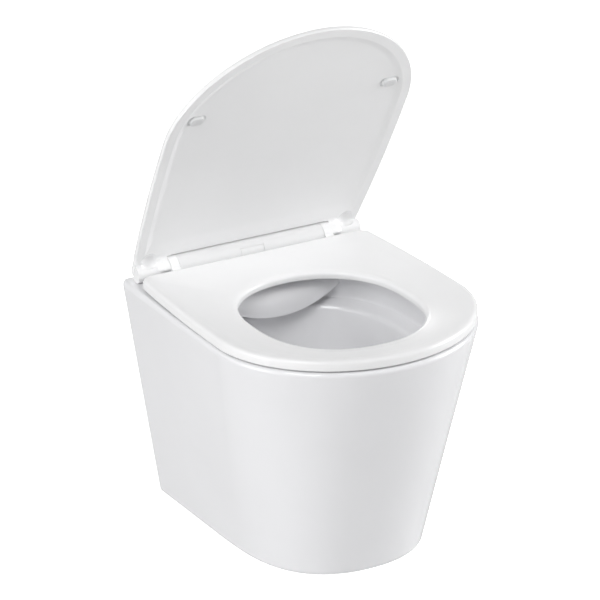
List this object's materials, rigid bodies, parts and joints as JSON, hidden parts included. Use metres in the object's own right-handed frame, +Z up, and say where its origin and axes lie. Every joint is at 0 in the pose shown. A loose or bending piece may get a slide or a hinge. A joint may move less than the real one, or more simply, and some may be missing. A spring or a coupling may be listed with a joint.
{
  "type": "wall hung toilet",
  "caption": "Wall hung ceramic toilet pan with a D-shaped seat and lid on a quick-release hinge bar, held to a wall frame by concealed studs.",
  "frame": {"origin": "on the wall face, midway between the two wall fixing holes", "axes": "+Y out of the back face into the wall, +Z up, +X to the right for someone who faces the wall"},
  "size_m": [0.3624, 0.4228, 0.69],
  "materials": {
    "glazed_ceramic": "white sanitary glaze, glossy",
    "seat_resin": "white moulded resin, polished",
    "hinge_plastic": "white moulded plastic, satin",
    "grey_plastic": "grey moulded plastic",
    "steel": "stainless steel",
    "bumper_rubber": "white soft rubber",
    "gasket_rubber": "black rubber"
  },
  "bodies": {
    "pan": {"pan": "glazed_ceramic", "left_fixing_sleeve": "grey_plastic", "right_fixing_sleeve": "grey_plastic", "left_fixing_washer": "steel", "right_fixing_washer": "steel", "left_fixing_nut": "steel", "right_fixing_nut": "steel", "left_gasket": "gasket_rubber", "right_gasket": "gasket_rubber", "left_base_plate": "steel", "right_base_plate": "steel", "left_pillar": "steel", "right_pillar": "steel", "left_seat_bolt": "steel", "right_seat_bolt": "steel", "left_expansion_plug": "bumper_rubber", "right_expansion_plug": "bumper_rubber", "left_plug_nut": "steel", "right_plug_nut": "steel"},
    "hinge_bar": {"hinge_barrel": "hinge_plastic", "left_lock_clip": "steel", "right_lock_clip": "steel", "left_damper": "grey_plastic", "right_damper": "grey_plastic", "left_button_spring": "steel", "right_button_spring": "steel"},
    "release_button": {"release_button": "hinge_plastic", "pusher_bar": "grey_plastic"},
    "seat": {"seat_ring": "seat_resin", "rear_left_seat_bumper": "bumper_rubber", "rear_right_seat_bumper": "bumper_rubber", "front_left_seat_bumper": "bumper_rubber", "front_right_seat_bumper": "bumper_rubber", "right_damper_shaft": "steel"},
    "lid": {"lid": "seat_resin", "left_lid_bumper": "bumper_rubber", "right_lid_bumper": "bumper_rubber", "left_damper_shaft": "steel"}
  },
  "joints": [
    {"name": "hinge_lift", "type": "slide", "parent": "pan", "child": "hinge_bar", "axis": [0, 0, 1], "range_m": [0, 0.022], "deforming": ["left_lock_clip", "right_lock_clip"]},
    {"name": "release_button", "type": "slide", "parent": "hinge_bar", "child": "release_button", "axis": [0, 1, 0], "range_m": [0, 0.003], "stiffness_N_per_m": 800, "springref_m": -0.002, "deforming": ["left_button_spring", "right_button_spring"]},
    {"name": "seat_hinge", "type": "hinge", "parent": "hinge_bar", "child": "seat", "pos_m": [0, -0.021, 0.092], "axis": [-1, 0, 0], "range_deg": [0, 88]},
    {"name": "lid_hinge", "type": "hinge", "parent": "seat", "child": "lid", "pos_m": [0, -0.021, 0.092], "axis": [-1, 0, 0], "range_deg": [-62, 28]}
  ]
}
